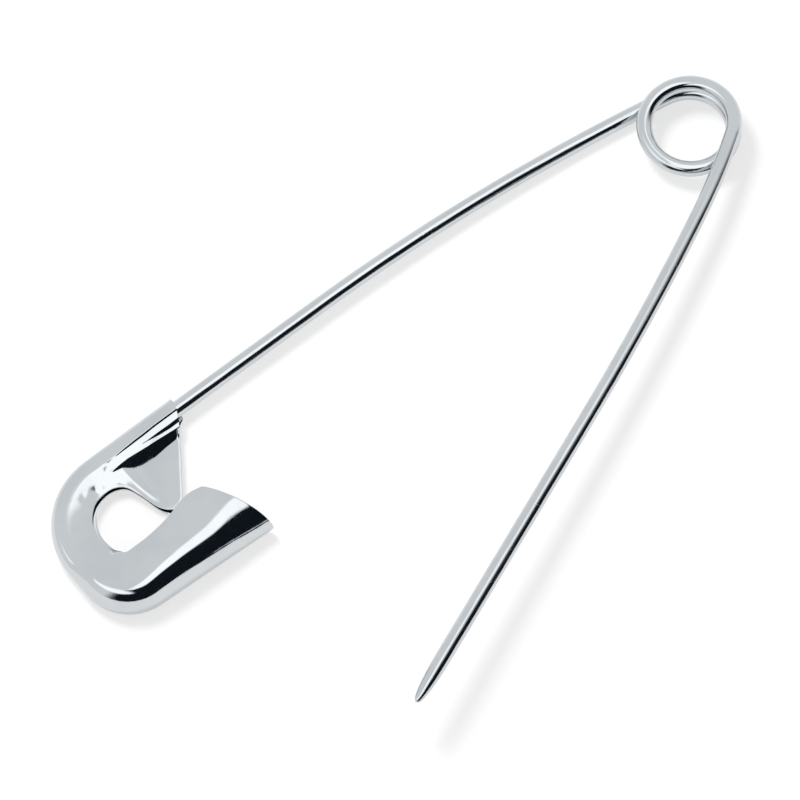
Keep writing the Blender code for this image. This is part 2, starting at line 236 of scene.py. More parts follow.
def add_studio(tree):
    """The studio's colour in each direction: the tent, the dark side and the two soft boxes."""
    way = add_node(tree, "ShaderNodeTexCoord").outputs["Generated"]
    x, y, z = add_node(tree, "ShaderNodeSeparateXYZ", i0=way).outputs
    flat = add_math(tree, "SQRT", add_math(tree, "SUBTRACT", 1.0, add_math(tree, "MULTIPLY", z, z)))
    facing = add_along(tree, x, y, (math.cos(DARK_BEARING), math.sin(DARK_BEARING)))
    facing = add_math(tree, "DIVIDE", facing, flat)
    side = add_step(tree, facing, math.cos(DARK_REACH[0]), math.cos(DARK_REACH[1]))
    overhead = add_step(tree, z, *OVERHEAD)
    dark = add_math(tree, "MULTIPLY", side, add_math(tree, "SUBTRACT", 1.0, overhead))
    uncut = add_step(tree, add_along(tree, x, y, SOFT_BOX_WAY), *SOFT_BOX_CUT)
    soft_box = add_math(tree, "MULTIPLY", overhead, uncut)
    aside = add_step(tree, x, *RIM_BOX_ASIDE)
    rim_box = add_math(tree, "MULTIPLY", aside, add_step(tree, z, *RIM_BOX_ABOVE))
    colour = add_mix(tree, dark, TENT_COLOUR, DARK_COLOUR)
    colour = add_mix(tree, rim_box, colour, SOFT_BOX_COLOUR)
    return add_mix(tree, soft_box, colour, SOFT_BOX_COLOUR)


print("soft box above, degrees:", round(math.degrees(math.asin(OVERHEAD[0]))))

# %% [markdown]
# The world has three faces: mirrors see the studio, the camera sees white, and the table is lit by an even
# white. The Light Path node tells them apart.

# %% World
WORLD_ON_TABLE = 0.55


def make_world():
    world = bpy.data.worlds.new("studio")
    world.use_nodes = True
    tree = world.node_tree
    tree.nodes.clear()
    path = add_node(tree, "ShaderNodeLightPath").outputs
    mirrored = add_node(tree, "ShaderNodeBackground", Color=add_studio(tree), Strength=1.0).outputs[0]
    plain = add_node(tree, "ShaderNodeBackground", Color=WHITE, Strength=WORLD_ON_TABLE).outputs[0]
    seen = add_node(tree, "ShaderNodeBackground", Color=WHITE, Strength=1.0).outputs[0]
    glossy = add_math(tree, "MAXIMUM", path["Is Glossy Ray"], path["Is Transmission Ray"])
    lit = add_node(tree, "ShaderNodeMixShader", i0=glossy, i1=plain, i2=mirrored).outputs[0]
    shown = add_node(tree, "ShaderNodeMixShader", i0=path["Is Camera Ray"], i1=lit, i2=seen).outputs[0]
    add_node(tree, "ShaderNodeOutputWorld", i0=shown)
    bpy.context.scene.world = world
    return world


world = make_world()
print("world nodes:", len(world.node_tree.nodes))

# %% [markdown]
# One area lamp throws the soft shadows, from the side away from the arm. A sun would do, but a disk near by
# softens a shadow as it gets longer. It is hidden from reflections, which the world already holds.

# %% Key lamp
KEY_DISTANCE = 0.60
KEY_SIZE = 0.20
KEY_WAY = Vector((0.02, -0.56, 0.83))
KEY_POWER = 2.3

key_data = bpy.data.lights.new("key", "AREA")
key_data.shape = "DISK"
key_data.size = KEY_SIZE
key_data.energy = KEY_POWER
key = add_object("key", key_data)
middle = (Vector(cad_box[0]) + Vector(cad_box[1])) / 2
key.location = middle + KEY_WAY.normalized() * KEY_DISTANCE
key.rotation_mode = "QUATERNION"
key.rotation_quaternion = KEY_WAY.to_track_quat("Z", "Y")
key.visible_glossy = False
key.visible_camera = False
print("key lamp at, mm:", in_mm(key.location))

# %% [markdown]
# The table is white paper, pure white to the camera and to mirrors. Paper that is only lit would turn grey
# towards the edges, so a part of its white is its own glow, and a shadow takes only the lit part away.

# %% Table
TABLE_SIZE = 3.0
TABLE_GLOW = 0.62
TABLE_LIT = (0.40, 0.40, 0.40, 1.0)
TABLE_PAPER = (0.8, 0.8, 0.8, 1.0)  # what light that bounces meets


def new_material(name):
    """A material without nodes, and its node tree."""
    material = bpy.data.materials.new(name)
    material.use_nodes = True
    material.node_tree.nodes.clear()
    return material, material.node_tree


def make_paper():
    material, tree = new_material("white_paper")
    path = add_node(tree, "ShaderNodeLightPath").outputs
    seen = add_math(tree, "MAXIMUM", path["Is Camera Ray"], path["Is Glossy Ray"])
    seen = add_math(tree, "MAXIMUM", seen, path["Is Transmission Ray"])
    plain = add_node(tree, "ShaderNodeBsdfDiffuse", Color=TABLE_PAPER).outputs[0]
    lit = add_node(tree, "ShaderNodeBsdfDiffuse", Color=TABLE_LIT).outputs[0]
    glow = add_node(tree, "ShaderNodeEmission", Color=WHITE, Strength=TABLE_GLOW).outputs[0]
    both = add_node(tree, "ShaderNodeAddShader", i0=lit, i1=glow).outputs[0]
    mixed = add_node(tree, "ShaderNodeMixShader", i0=seen, i1=plain, i2=both).outputs[0]
    add_node(tree, "ShaderNodeOutputMaterial", i0=mixed)
    return material


def to_object(mesh, name, *materials):
    """An object with these materials, made of the bmesh."""
    data = bpy.data.meshes.new(name)
    mesh.to_mesh(data)
    mesh.free()
    for material in materials:
        data.materials.append(material)
    return add_object(name, data)


mesh = bmesh.new()
bmesh.ops.create_grid(mesh, x_segments=1, y_segments=1, size=TABLE_SIZE / 2)
table = to_object(mesh, "table", make_paper())
table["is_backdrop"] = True
print("table:", table.name, "material:", table.data.materials[0].name)

# %% [markdown]
# ## Finishes
#
# Both pieces are nickel plated. Drawn wire keeps faint lines along its length from the die, and rolled
# sheet keeps lines along the strip, so both materials share one group that makes them. A picture of brushed
# metal could too, but noise that is stretched along one axis never repeats.

# %% Group of drawn lines
CELLS_PER_METRE = 1000.0
LINE_EDGES = (0.30, 0.70)  # of the noise: where a line begins, and where it is full


def new_group(name, values, output):
    """A group that takes a place and these values, and the sockets at its two ends."""
    group = bpy.data.node_groups.new(name, "ShaderNodeTree")
    group.interface.new_socket("Place", in_out="INPUT", socket_type="NodeSocketVector")
    for label, value in values.items():
        socket = group.interface.new_socket(label, in_out="INPUT", socket_type="NodeSocketFloat")
        socket.default_value = value
    group.interface.new_socket(output, in_out="OUTPUT", socket_type="NodeSocketFloat")
    return group, group.nodes.new("NodeGroupInput").outputs, group.nodes.new("NodeGroupOutput").inputs


def make_drawn_lines():
    """Fine lines along Z of the given place, as a mask from 0 to 1."""
    group, given, leave = new_group("drawn_lines", {"Across": 9.0, "Along": 0.15}, "Lines")
    across, along = given["Across"], given["Along"]
    scale = add_node(group, "ShaderNodeCombineXYZ", i0=across, i1=across, i2=along).outputs[0]
    stretch = {"operation": "MULTIPLY"}
    placed = add_node(group, "ShaderNodeVectorMath", stretch, i0=given["Place"], i1=scale).outputs[0]
    noise = add_node(group, "ShaderNodeTexNoise", Vector=placed, Scale=CELLS_PER_METRE, Detail=3.0)
    group.links.new(add_step(group, noise.outputs[0], *LINE_EDGES), leave["Lines"])
    return group


drawn_lines = make_drawn_lines()
print("group:", drawn_lines.name)

# %% [markdown]
# A second group makes the hair-thin scratches of handling. They could be painted on a map, but the edges
# between Voronoi cells are thin lines already: one noise bends them, and another keeps them to patches.

# %% Group of handling marks
BEND_SCALE = 700.0  # of the noise that bends the scratches
BEND_DEPTH = (0.0012, 0.0012, 0.0012)
PATCH_SCALE = 420.0
PATCH_EDGES = (0.48, 0.66)


def make_handling_marks():
    """Scratches in all directions, as a mask from 0 to 1."""
    group, given, leave = new_group("handling_marks", {"Spacing": 1.0, "Width": 0.02}, "Marks")
    place = given["Place"]
    noise = add_node(group, "ShaderNodeTexNoise", Vector=place, Scale=BEND_SCALE, Detail=1.0)
    spread = noise.outputs["Color"]
    bend = {"operation": "MULTIPLY_ADD"}
    moved = add_node(group, "ShaderNodeVectorMath", bend, i0=spread, i1=BEND_DEPTH, i2=place).outputs[0]
    size = add_math(group, "DIVIDE", CELLS_PER_METRE, given["Spacing"])
    edges = {"feature": "DISTANCE_TO_EDGE"}
    cells = add_node(group, "ShaderNodeTexVoronoi", edges, Vector=moved, Scale=size)
    near = add_math(group, "DIVIDE", cells.outputs["Distance"], given["Width"])
    marks = add_math(group, "SUBTRACT", 1.0, near, clamp=True)
    noise = add_node(group, "ShaderNodeTexNoise", Vector=place, Scale=PATCH_SCALE, Detail=2.0)
    patches = add_step(group, noise.outputs[0], *PATCH_EDGES)
    group.links.new(add_math(group, "MULTIPLY", marks, patches), leave["Marks"])
    return group


handling_marks = make_handling_marks()
print("group:", handling_marks.name)

# %% [markdown]
# The metal is a Principled BSDF with metallic at 1, in the cool grey that nickel gives back of a white
# wall. The lines and marks are too fine for the mesh: they only change how sharply it mirrors, and lift it
# by a hair. The wire's lines follow its bends, because they read each point's place on the straight wire.

# %% Nickel
NICKEL = (0.622, 0.650, 0.670, 1.0)
NICKEL_SHADE = (0.585, 0.613, 0.636, 1.0)
CLOUD_SCALE = 160.0  # of the slight cloud in the tone
CLOUD_EDGES = (0.35, 0.65)
MARK_WIDTH = 0.03
MARK_ROUGHNESS = 0.12
LINE_DEPTH = 0.02 * MM


def add_group(tree, group, **inputs):
    return add_node(tree, "ShaderNodeGroup", {"node_tree": group}, **inputs).outputs[0]


def add_metal(tree, colour, rough, height, bump, depth):
    """Ends a material as a metal with a slightly uneven surface."""
    raised = add_node(tree, "ShaderNodeBump", Strength=bump, Distance=depth, Height=height).outputs[0]
    looks = {"Base_Color": colour, "Metallic": 1.0, "Roughness": rough, "Normal": raised}
    metal = add_node(tree, "ShaderNodeBsdfPrincipled", **looks).outputs[0]
    add_node(tree, "ShaderNodeOutputMaterial", i0=metal)


def make_nickel(name, place_of, across, along, roughness, bump, spacing):
    """Bright nickel whose lines follow the place that place_of gives."""
    material, tree = new_material(name)
    place = place_of(tree)
    lines = add_group(tree, drawn_lines, Place=place, Across=across, Along=along)
    marks = add_group(tree, handling_marks, Place=place, Spacing=spacing, Width=MARK_WIDTH)
    cloud = add_node(tree, "ShaderNodeTexNoise", Vector=place, Scale=CLOUD_SCALE, Detail=3.0)
    colour = add_mix(tree, add_step(tree, cloud.outputs[0], *CLOUD_EDGES), NICKEL, NICKEL_SHADE)
    rough = add_range(tree, lines, *roughness)
    rough = add_math(tree, "ADD", rough, add_math(tree, "MULTIPLY", marks, MARK_ROUGHNESS))
    add_metal(tree, colour, rough, add_math(tree, "SUBTRACT", lines, marks), bump, LINE_DEPTH)
    return material


def straight_place(tree):
    """Where a point was on the straight wire."""
    return add_node(tree, "ShaderNodeAttribute", {"attribute_name": "straight_wire"}).outputs["Vector"]


def sheet_place(tree):
    return add_node(tree, "ShaderNodeTexCoord").outputs["Object"]


def turned_sheet_place(tree):
    """The clasp's own place, turned so that the strip's rolling lines run along X."""
    quarter = (0.0, math.pi / 2, 0.0)
    return add_node(tree, "ShaderNodeMapping", i0=sheet_place(tree), i2=quarter).outputs[0]


wire_look = {"across": 6.0, "along": 0.10, "roughness": (0.07, 0.13), "bump": 0.20, "spacing": 2.5}
sheet_look = {"across": 5.0, "along": 0.12, "roughness": (0.05, 0.09), "bump": 0.04, "spacing": 3.0}
wire_nickel = make_nickel("nickel_on_wire", straight_place, **wire_look)
sheet_nickel = make_nickel("nickel_on_sheet", turned_sheet_place, **sheet_look)
print("materials:", wire_nickel.name, sheet_nickel.name)

# %% [markdown]
# The sheet's cut edge is a finish of its own: a press shears it, so it is rougher than the plated face, and
# its burr catches the light as a thin bright line. With the face's material it would be a sharp mirror.

# %% Sheared edge
EDGE_NICKEL = (0.80, 0.82, 0.84, 1.0)
EDGE_LINES = 6.0
EDGE_ROUGHNESS = (0.22, 0.40)
EDGE_BUMP = 0.4
EDGE_DEPTH = 0.03 * MM


def make_sheared_edge():
    material, tree = new_material("nickel_on_cut_edge")
    lines = add_group(tree, drawn_lines, Place=sheet_place(tree), Across=EDGE_LINES, Along=EDGE_LINES)
    rough = add_range(tree, lines, *EDGE_ROUGHNESS)
    add_metal(tree, EDGE_NICKEL, rough, lines, EDGE_BUMP, EDGE_DEPTH)
    return material


edge_nickel = make_sheared_edge()
print("material:", edge_nickel.name)

# %% [markdown]
# ## Drawing wire
#
# Wire is drawn through a die and then bent. The code does the same: a ring of vertices is the die, and
# extruding it from one station to the next leaves a tube behind. A station is a matrix that says where the
# ring stands, which way it faces and how large it is. A curve with a round bevel would give a tube too, but
# here a vertex's number also tells where it was on the straight wire.

# %% Wire stations
WIRE_SIDES = 40


def station(place, way, size=1.0):
    """An upright ring's frame at a place, facing along way."""
    ahead = Vector((way.x, way.y, 0.0)).normalized()
    side = Vector((0.0, 0.0, 1.0)).cross(ahead).normalized()
    over = ahead.cross(side)
    turn = Matrix((side, over, ahead)).transposed().to_4x4()
    return Matrix.Translation(place) @ turn @ Matrix.Scale(size, 4)


def stations_along(places, sizes):
    """Stations at the places, each facing along the line between its neighbours."""
    pairs = zip(places[:1] + places, places[1:] + places[-1:])
    ways = [after - before for before, after in pairs]
    return [station(place, way, size) for place, way, size in zip(places, ways, sizes)]


def start_wire(mesh, first):
    """The ring at the first station."""
    bmesh.ops.create_circle(mesh, cap_ends=False, radius=WIRE_RADIUS, segments=WIRE_SIDES, matrix=first)
    return mesh.edges[:]


def draw_wire(places, sizes=None):
    """A mesh in which the ring has been extruded through all the places."""
    mesh = bmesh.new()
    stations = stations_along(places, sizes or [1.0] * len(places))
    edges = start_wire(mesh, stations[0])
    for before, after in zip(stations, stations[1:]):
        made = bmesh.ops.extrude_edge_only(mesh, edges=edges)["geom"]
        edges = [part for part in made if isinstance(part, bmesh.types.BMEdge) and part.is_boundary]
        verts = [part for part in made if isinstance(part, bmesh.types.BMVert)]
        bmesh.ops.transform(mesh, matrix=after @ before.inverted(), verts=verts)
    return mesh


print("wire, mm:", round(2 * WIRE_RADIUS / MM, 2), "sides:", WIRE_SIDES)

# %% Finish a wire
SHARP_ANGLE = math.radians(50.0)


def remember_straight(mesh):
    """Stores each vertex's place on the straight wire, and returns the wire's length."""
    layer = mesh.verts.layers.float_vector.new("straight_wire")
    mesh.verts.ensure_lookup_table()
    along = 0.0
    last = None
    for first in range(0, len(mesh.verts), WIRE_SIDES):
        verts = mesh.verts[first : first + WIRE_SIDES]
        centre = sum((vert.co for vert in verts), Vector()) / WIRE_SIDES
        along += (centre - last).length if last else 0.0
        last = centre
        for side, vert in enumerate(verts):
            turn = math.tau * side / WIRE_SIDES
            vert[layer] = (WIRE_RADIUS * math.cos(turn), WIRE_RADIUS * math.sin(turn), along)
    return along


def finish_wire(mesh, name, body, *nodes):
    """Closes the ends and makes the piece, which rides on its body, if one is given."""
    length = remember_straight(mesh)
    open_edges = [edge for edge in mesh.edges if edge.is_boundary]
    bmesh.ops.holes_fill(mesh, edges=open_edges, sides=WIRE_SIDES)
    bmesh.ops.recalc_face_normals(mesh, faces=mesh.faces[:])
    piece = to_object(mesh, name, wire_nickel)
    piece.data.shade_smooth()
    piece.data.set_sharp_from_angle(angle=SHARP_ANGLE)
    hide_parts(*nodes)
    if body:
        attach(piece, body)
    print(name, "length, mm:", round(length / MM, 1), "faces:", len(piece.data.polygons))
    return piece


# %% [markdown]
# A bent wire's middle line is a chain of straights and arcs. A Bezier curve could follow it, but a walk
# keeps each arc true: it starts at a place with a heading, and each run takes it a length on, turns it and
# lifts it.


# %% The walk along a wire
def smooth_step(share):
    return share * share * (3 - 2 * share)


class Walk:
    """Follows a wire's middle line: each run is an arc or a straight in plan, with a rise."""

    def __init__(self, place, heading):
        self.place = Vector(place)
        self.heading = heading

    def way(self):
        return Vector((math.cos(self.heading), math.sin(self.heading), 0.0))

    def run(self, length, turn, rise, steps, ease=False):
        """The places along the next run. With ease, the rise begins and ends gently."""
        places = []
        for step in range(steps + 1):
            share = step / steps
            half = turn * share / 2
            chord = length * share * (math.sin(half) / half if half else 1.0)
            lift = rise * (smooth_step(share) if ease else share)
            way = self.heading + half
            places.append(self.place + Vector((chord * math.cos(way), chord * math.sin(way), lift)))
        self.place = places[-1]
        self.heading += turn
        return places


# %% [markdown]
# ## The spine
#
# The spine is the fixed leg. It starts inside the clasp's crimp, runs straight, and bows away from the arm
# near the coil, sinking by half a wire to lie on the table. It could be bent by eye, but here the bow's
# angle and radius follow from its length and its reach aside, so the spine always meets the coil.

# %% Spine
SPINE_IN_CRIMP = 10.0 * MM
SPINE_BOW_SHARE = 0.70  # of the spine's length
SPINE_BOW_REACH = 4.5 * MM
SPINE_STEPS = 12
SPINE_BOW_STEPS = 48
COIL_RADIUS = 5.6 * MM

spine_bow = 2 * math.atan(SPINE_BOW_REACH / (SPINE_BOW_SHARE * spine_length))
spine_bow_radius = SPINE_BOW_REACH / (1 - math.cos(spine_bow))
spine_straight = spine_length + (COIL_RADIUS - spine_bow_radius) * math.sin(spine_bow)
spine_sink = WIRE_RADIUS - spine_height

walk = Walk(to_world((SPINE_IN_CRIMP, 0.0, spine_height)), math.pi)
spine_places = walk.run(SPINE_IN_CRIMP + spine_straight, 0.0, 0.0, SPINE_STEPS)
bow_places = walk.run(spine_bow_radius * spine_bow, -spine_bow, spine_sink, SPINE_BOW_STEPS, ease=True)
spine_mesh = draw_wire(spine_places + bow_places[1:])
finish_wire(spine_mesh, "bowed_spine", "fixed_leg", "spine_wire")

# %% [markdown]
# ## The coil
#
# The coil is the pin's spring, a helix wound almost tight: one full turn, and the part turn between the
# spine's direction and the arm's. The walk could step round it, but Spin does what the winding tool does:
# it turns the ring about the coil's axis, and its dvec lifts it a little at each step.

# %% Coil sizes
TURN_PITCH = 2.48 * MM
STEPS_PER_TURN = 96
ARM_OPENING = math.radians(22.5)
SHANK_BEND = math.radians(7.5)
ARM_BOW = math.radians(4.2)
FULL_TURNS = 1

coil_sweep = math.tau * FULL_TURNS + math.pi - spine_bow - ARM_OPENING - SHANK_BEND - ARM_BOW
coil_steps = round(STEPS_PER_TURN * coil_sweep / math.tau)
step_turn = coil_sweep / coil_steps
step_rise = TURN_PITCH * step_turn / math.tau
print("turns:", round(coil_sweep / math.tau, 3), "steps:", coil_steps)

# %% [markdown]
# The first steps lift the ring by a growing share of the full rise, so the spine passes into the slope
# without a kink. When the arm swings, the coil winds up: its low end stays with the fixed leg and its high
# end goes with the shank. Here the coil is made in place and rides on no body.

# %% Coil
EASING_STEPS = 6


def spin_ring(mesh, parts, steps, rise):
    """Winds the ring on about the coil's axis and returns the last ring's parts."""
    return bmesh.ops.spin(
        mesh,
        geom=parts,
        cent=(coil_axis.x, coil_axis.y, 0.0),
        axis=(0.0, 0.0, 1.0),
        angle=-step_turn * steps,
        dvec=(0.0, 0.0, rise),
        steps=steps,
        use_merge=False,
        use_duplicate=False,
    )["geom_last"]


mesh = bmesh.new()
parts = start_wire(mesh, station(walk.place, walk.way())) + mesh.verts[:]
coil_rise = 0.0
for step in range(EASING_STEPS):
    eased = step_rise * smooth_step((step + 0.5) / EASING_STEPS)
    parts = spin_ring(mesh, parts, 1, eased)
    coil_rise += eased
spin_ring(mesh, parts, coil_steps - EASING_STEPS, step_rise)
coil_rise += step_rise * (coil_steps - EASING_STEPS)
coil = finish_wire(mesh, "wound_coil", None, "spring_coil")
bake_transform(coil)
print("the coil rises, mm:", round(coil_rise / MM, 2))

# %% [markdown]
# ## The arm and its point
#
# The arm leaves the coil's top along a short bent shank, bows a little and runs straight to the point. It
# climbs a little all the way, so that it swings clear over the clasp's hook. One even slope would leave a
# kink at the coil, so it leaves on the coil's own slope and settles soon to its lesser one.

# %% Arm's length and climb
SHANK_SHARE = 0.14  # of the arm's length
ARM_BOW_SHARE = 0.36  # of the arm's length
POINT_DEPTH = 13.0 * MM  # how far past the crimp's mouth its length goes
ARM_CLIMB = 2.5 * MM

arm_length = spine_length + POINT_DEPTH + COIL_RADIUS * math.sin(spine_bow)
shank_length = SHANK_SHARE * arm_length
arm_bow_length = ARM_BOW_SHARE * arm_length
coil_end = walk.place - Vector((coil_axis.x, coil_axis.y, 0.0))
coil_end.rotate(Matrix.Rotation(-coil_sweep, 3, "Z"))
coil_end += Vector((coil_axis.x, coil_axis.y, coil_rise))
coil_slope = TURN_PITCH / (math.tau * COIL_RADIUS)
arm_slope = ARM_CLIMB / arm_length
settling = hinge.z - arm_slope * shank_length - coil_end.z  # the height that the steeper start adds


def climb_at(along):
    """The arm's height over the coil's end: it leaves on the coil's slope and settles to its own."""
    fading = math.exp(-along * (coil_slope - arm_slope) / settling)
    return arm_slope * along + settling * (1 - fading)


print("arm's length, mm:", round(arm_length / MM, 1), "climb:", round(climb_at(arm_length) / MM, 2))

# %% [markdown]
# The last stretch is ground on a wheel, which leaves full flanks and a fine tip. A cone would be too lean,
# so the ring shrinks along a rounded curve. The wire has no hinge: it flexes. So shank and arm are one
# piece, made in place, which rides on no body.

# %% Arm
POINT_LENGTH = 7.0 * MM
POINT_END_SHARE = 0.05
POINT_FULLNESS = 0.8
POINT_RINGS = 28
SHANK_STEPS = 16
ARM_BOW_STEPS = 30
ARM_STEPS = 24

arm_walk = Walk(coil_end, walk.heading - coil_sweep)
arm_places = arm_walk.run(shank_length, -SHANK_BEND, 0.0, SHANK_STEPS)
arm_places += arm_walk.run(arm_bow_length, -ARM_BOW, 0.0, ARM_BOW_STEPS)[1:]
straight = arm_length - shank_length - arm_bow_length - POINT_LENGTH
arm_places += arm_walk.run(straight, 0.0, 0.0, ARM_STEPS)[1:]
along = 0.0
for before, place in zip(arm_places, arm_places[1:]):
    along += (place.xy - before.xy).length
    place.z += climb_at(along)
sizes = [1.0] * len(arm_places)
hinge_way = arm_walk.way()
point_start = arm_places[-1].copy()
point_way = hinge_way + Vector((0.0, 0.0, arm_slope))
for step in range(1, POINT_RINGS + 1):
    turn = math.pi / 2 * step / POINT_RINGS
    arm_places.append(point_start + point_way * POINT_LENGTH * math.sin(turn))
    sizes.append(POINT_END_SHARE + (1 - POINT_END_SHARE) * abs(math.cos(turn)) ** POINT_FULLNESS)
arm = finish_wire(draw_wire(arm_places, sizes), "pointed_arm", None, "arm_shank", "pin_arm")
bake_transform(arm)
print("arm from", in_mm(coil_end), "to", in_mm(arm_places[-1]))

# %% [markdown]
# ## The clasp
#
# The clasp is stamped from thin sheet and folded in a press: a flat back, a tube crimped round the spine's
# end, a round end, a tongue pressed down towards the back, and a domed hook that takes the point, with a
# window through it. Cut from a block, its folds would have no inside. Seen as a ribbon, it is one bent
# section carried along an outline. So the code starts from a flat grid, and each column becomes a section.

# %% Clasp sizes
SHEET = 0.30 * MM
CRIMP_GAP = 0.17 * MM
HOOK_HEIGHT = 5.4 * MM
MOUTH_SETBACK = 0.9 * MM
END_RADIUS = 10.4 * MM
HOOK_CORNER_RADIUS = 6.6 * MM
HOOK_TAPER = 0.65 * MM  # how far the hook's side runs in towards the round end
LAST_PLACE = 5.0

crimp_radius = WIRE_RADIUS + CRIMP_GAP + SHEET / 2
print("crimp's radius, mm:", round(crimp_radius / MM, 2))

# %% [markdown]
# The outline follows the middle of the wall from the crimp's mouth to the hook's: the crimp's side, the
# large corner, a short straight, the hook's corner and the hook's side. Arcs keep the corners true, where a
# Bezier curve wouldn't. A place on it is a number, and whole places are the runs' ends.


# %% Outline
def outline(place):
    """A point of the clasp's outline in plan."""
    left = -crimp_radius
    right = clasp_size[1] - SHEET / 2 - HOOK_TAPER
    end = clasp_size[0] - SHEET / 2
    near, far = END_RADIUS, HOOK_CORNER_RADIUS
    run = min(int(place), int(LAST_PLACE) - 1)
    share = place - run
    turn = share * math.pi / 2
    if run == 0:
        return np.array([(end - near) * share, left])
    if run == 1:
        return np.array([end - near + near * math.sin(turn), left + near - near * math.cos(turn)])
    if run == 2:
        return np.array([end, left + near + (right - far - left - near) * share])
    if run == 3:
        return np.array([end - far + far * math.cos(turn), right - far + far * math.sin(turn)])
    return np.array([end - far + (MOUTH_SETBACK - end + far) * share, right + HOOK_TAPER * share])


print("outline from", in_mm(outline(0.0)), "to", in_mm(outline(LAST_PLACE)))

# %% [markdown]
# Each row of this table is one section: its place on the outline, the front layer's inner edge and the back
# layer's as shares of the clasp's length and width, the crown's height as a share of the hook's, how far in
# the crown lies, the front edge's height, and how far the section is still a tube. A press tool has no
# formula, so its edges were judged from the photograph one by one.

# %% Section table
SECTION_SHARES = (
    (0.03, 0.075, 0.113, 0.008, 0.042, 0.54, 0.20, 0.250, 1.0),
    (0.12, 0.107, 0.170, 0.102, 0.165, 0.54, 0.20, 0.240, 1.0),
    (0.26, 0.160, 0.261, 0.155, 0.257, 0.54, 0.20, 0.240, 1.0),
    (0.48, 0.284, 0.470, 0.277, 0.460, 0.54, 0.20, 0.240, 1.0),
    (0.53, 0.313, 0.512, 0.303, 0.504, 0.54, 0.20, 0.240, 1.0),
    (0.60, 0.352, 0.519, 0.344, 0.510, 0.54, 0.20, 0.240, 1.0),
    (0.68, 0.389, 0.492, 0.390, 0.508, 0.54, 0.20, 0.241, 1.0),
    (0.73, 0.423, 0.432, 0.420, 0.430, 0.54, 0.20, 0.247, 1.0),
    (0.79, 0.451, 0.315, 0.441, 0.318, 0.52, 0.20, 0.268, 1.0),
    (0.85, 0.481, 0.223, 0.472, 0.218, 0.51, 0.20, 0.298, 1.0),
    (0.92, 0.528, 0.182, 0.521, 0.176, 0.50, 0.21, 0.328, 0.95),
    (1.00, 0.590, 0.173, 0.584, 0.168, 0.49, 0.22, 0.338, 0.80),
    (1.33, 0.678, 0.206, 0.661, 0.203, 0.49, 0.23, 0.364, 0.20),
    (1.67, 0.740, 0.280, 0.712, 0.283, 0.51, 0.22, 0.370, 0.0),
    (2.00, 0.770, 0.375, 0.736, 0.373, 0.54, 0.22, 0.390, 0.0),
    (2.50, 0.768, 0.490, 0.728, 0.475, 0.64, 0.24, 0.47, 0.0),
    (3.00, 0.744, 0.562, 0.700, 0.545, 0.76, 0.28, 0.62, 0.0),
    (3.50, 0.724, 0.608, 0.683, 0.578, 0.88, 0.34, 0.77, 0.0),
    (4.00, 0.675, 0.618, 0.642, 0.588, 0.97, 0.42, 0.86, 0.0),
    (4.20, 0.592, 0.618, 0.568, 0.583, 1.00, 0.45, 0.88, 0.0),
    (4.40, 0.494, 0.603, 0.477, 0.553, 1.00, 0.47, 0.88, 0.0),
    (4.55, 0.420, 0.583, 0.407, 0.512, 1.00, 0.47, 0.88, 0.0),
    (4.70, 0.354, 0.558, 0.354, 0.512, 1.00, 0.47, 0.88, 0.0),
    (4.85, 0.284, 0.548, 0.300, 0.512, 0.99, 0.47, 0.88, 0.0),
    (5.00, 0.214, 0.563, 0.300, 0.512, 0.98, 0.47, 0.88, 0.0),
)
PLACE, BACK_EDGE, TUBE = 0, slice(3, 5), 8  # columns of the table
SEAM_PLACES = ((0.53, 0.68), (4.55, 4.85))  # where the back layer's edge is cut straight
print("rows in the table:", len(SECTION_SHARES))

# %% [markdown]
# Between the rows the sections change along a Catmull-Rom curve. A straight blend would be simpler, but
# bright metal shows each small kink as a break in its highlights.

# %% Sections between the table's rows
SECTIONS_PER_ROW = 7


def smooth_line(values, count):
    """Rows on a Catmull-Rom curve through the rows of values, count to each."""
    rows = np.array(values)
    padded = np.vstack([2 * rows[0] - rows[1], rows, 2 * rows[-1] - rows[-2]])
    made = []
    for index in range(len(rows) - 1):
        before, start, end, after = padded[index : index + 4]
        for step in range(count):
            t = step / count
            made.append(
                start
                + t * (end - before) / 2
                + t * t * (before - 2.5 * start + 2 * end - after / 2)
                + t * t * t * (1.5 * (start - end) + (after - before) / 2)
            )
    made.append(rows[-1])
    return np.array(made)


def make_section_rows():
    """The table's rows with smooth rows between them. Places and straight cuts are spaced evenly."""
    rows = smooth_line(SECTION_SHARES, SECTIONS_PER_ROW)
    for index, row in enumerate(rows):
        before = min(index // SECTIONS_PER_ROW, len(SECTION_SHARES) - 2)
        share = index / SECTIONS_PER_ROW - before
        start, end = np.array(SECTION_SHARES[before]), np.array(SECTION_SHARES[before + 1])
        even = start + (end - start) * share
        row[PLACE] = even[PLACE]
        in_seam = any(first <= start[PLACE] and end[PLACE] <= last for first, last in SEAM_PLACES)
        if in_seam or np.array_equal(start[BACK_EDGE], end[BACK_EDGE]):
            row[BACK_EDGE] = even[BACK_EDGE]
        row[TUBE] = min(max(row[TUBE], 0.0), 1.0)
    return rows


section_rows = make_section_rows()
print("sections:", len(section_rows))

# %% [markdown]
# Between the crimp's top and the tongue the press leaves steps that run along the spine: a short steep
# drop, a gentle slope, a second drop that fades out, another gentle slope, and the fall to the tongue. They
# give the narrow streaks beside the crimp. A bump in the material could fake them, but they stand half a
# millimetre high. Each row holds their corners at one distance from the crimp's mouth: how far out from the
# spine's axis and how far below the crimp's top they lie, in millimetres.

